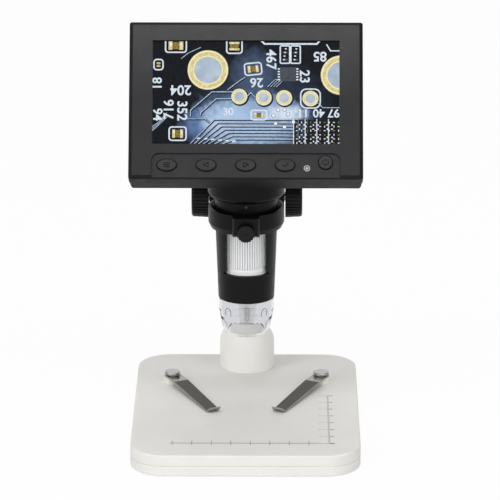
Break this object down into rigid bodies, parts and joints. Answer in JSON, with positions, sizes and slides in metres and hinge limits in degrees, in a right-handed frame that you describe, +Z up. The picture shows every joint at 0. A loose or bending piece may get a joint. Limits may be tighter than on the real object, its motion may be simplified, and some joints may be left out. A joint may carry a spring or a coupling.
{
  "type": "lcd digital microscope",
  "caption": "Bench microscope with a tilted screen housing on a ribbed-wheel barrel, held by a geared bracket on a pole over a flat base with stage clips.",
  "frame": {"origin": "on the table under the middle of the base", "axes": "+Z up along the pole, +X to the right of someone facing the screen, +Y away from them"},
  "size_m": [0.119, 0.1536, 0.2178],
  "materials": {
    "white_plastic": "satin moulded",
    "black_plastic": "satin moulded",
    "wheel_plastic": "satin",
    "clear_plastic": "clear",
    "lens_glass": "coated",
    "display": "satin",
    "chrome": "polished",
    "spring_steel": "brushed",
    "pole_steel": "polished",
    "plate_steel": "zinc plated",
    "screw_steel": "plated",
    "sheet_metal": "satin",
    "rubber": "matte",
    "bearing_plastic": "satin",
    "circuit_board": "satin",
    "dark_parts": "matte",
    "lamp_lens": "gloss",
    "ribbon": "satin",
    "cell_wrap": "satin",
    "indicator": "frosted"
  },
  "bodies": {
    "stand": {"base_top_cover": "white_plastic", "base_bottom_plate": "white_plastic", "ballast_plate": "plate_steel", "rubber_feet": "rubber", "base_screws": "screw_steel", "pole_socket": "white_plastic", "pole": "pole_steel", "pole_end_cap": "black_plastic", "pole_washer": "screw_steel", "pole_screw": "screw_steel", "clip_pin_left": "chrome", "clip_pin_right": "chrome"},
    "clip_left": {"clip_left": "spring_steel"},
    "clip_right": {"clip_right": "spring_steel"},
    "carriage": {"carriage_housing": "black_plastic", "pole_bushings": "bearing_plastic", "pinion_bushes": "bearing_plastic", "brake_pad": "bearing_plastic", "brake_screw": "screw_steel"},
    "pinion": {"pinion_shaft": "spring_steel", "knob_left": "black_plastic", "knob_right": "black_plastic"},
    "clamp": {"clamp_knob": "black_plastic", "clamp_stud": "screw_steel"},
    "scope": {"barrel_shell": "black_plastic", "barrel_screws": "screw_steel", "sensor_holder": "dark_parts", "sensor_board": "circuit_board", "image_sensor": "dark_parts", "sensor_flex": "ribbon", "led_board": "circuit_board", "led_lamps": "lamp_lens", "clear_cap": "clear_plastic", "front_bezel": "black_plastic", "rear_shell": "black_plastic", "lcd_frame": "sheet_metal", "lcd_panel": "display", "main_board": "circuit_board", "board_connector": "dark_parts", "key_board": "circuit_board", "tact_switches": "sheet_metal", "indicator_lens": "indicator", "battery": "cell_wrap", "usb_port": "sheet_metal", "card_slot": "sheet_metal", "head_screws": "screw_steel"},
    "focus_wheel": {"focus_wheel": "wheel_plastic"},
    "lens": {"lens_carrier": "dark_parts", "objective_lens": "lens_glass"},
    "button_menu": {"button_menu": "black_plastic"},
    "button_left": {"button_left": "black_plastic"},
    "button_right": {"button_right": "black_plastic"},
    "button_ok": {"button_ok": "black_plastic"},
    "button_power": {"button_power": "black_plastic"}
  },
  "joints": [
    {"name": "lift", "type": "slide", "parent": "stand", "child": "carriage", "axis": [0, 0, 1], "range_m": [-0.03, 0.04]},
    {"name": "knob_turn", "type": "hinge", "parent": "carriage", "child": "pinion", "pos_m": [0, 0.0499, 0.1108], "axis": [1, 0, 0], "range_deg": [-340, 256]},
    {"name": "clamp_turn", "type": "hinge", "parent": "carriage", "child": "clamp", "pos_m": [0, -0.02, 0.1128], "axis": [0, -1, 0], "range_deg": [0, 540]},
    {"name": "scope_turn", "type": "hinge", "parent": "carriage", "child": "scope", "pos_m": [0, 0.005, 0.1142], "axis": [0, 0, 1], "range_deg": [-45, 45]},
    {"name": "focus_turn", "type": "hinge", "parent": "scope", "child": "focus_wheel", "pos_m": [0, 0.005, 0.0975], "axis": [0, 0, 1], "range_deg": [-151, 151]},
    {"name": "lens_slide", "type": "slide", "parent": "scope", "child": "lens", "axis": [0, 0, 1], "range_m": [-0.005, 0.005]},
    {"name": "clip_left_swing", "type": "hinge", "parent": "stand", "child": "clip_left", "pos_m": [-0.0398, 0.0327, 0.0157], "axis": [0, 0, 1], "range_deg": [-40, 60]},
    {"name": "clip_right_swing", "type": "hinge", "parent": "stand", "child": "clip_right", "pos_m": [0.0398, 0.0327, 0.0157], "axis": [0, 0, 1], "range_deg": [-60, 40]},
    {"name": "button_menu_press", "type": "slide", "parent": "scope", "child": "button_menu", "axis": [0, 0.866, -0.5], "range_m": [0, 0.0006], "stiffness_N_per_m": 400, "springref_m": -0.0006},
    {"name": "button_left_press", "type": "slide", "parent": "scope", "child": "button_left", "axis": [0, 0.866, -0.5], "range_m": [0, 0.0006], "stiffness_N_per_m": 400, "springref_m": -0.0006},
    {"name": "button_right_press", "type": "slide", "parent": "scope", "child": "button_right", "axis": [0, 0.866, -0.5], "range_m": [0, 0.0006], "stiffness_N_per_m": 400, "springref_m": -0.0006},
    {"name": "button_ok_press", "type": "slide", "parent": "scope", "child": "button_ok", "axis": [0, 0.866, -0.5], "range_m": [0, 0.0006], "stiffness_N_per_m": 400, "springref_m": -0.0006},
    {"name": "button_power_press", "type": "slide", "parent": "scope", "child": "button_power", "axis": [0, 0.866, -0.5], "range_m": [0, 0.0006], "stiffness_N_per_m": 400, "springref_m": -0.0006}
  ],
  "couplings": [
    {"joint": "knob_turn", "follows": "lift", "rad_per_m": -147.06},
    {"joint": "focus_turn", "follows": "lens_slide", "rad_per_m": 523.6}
  ]
}
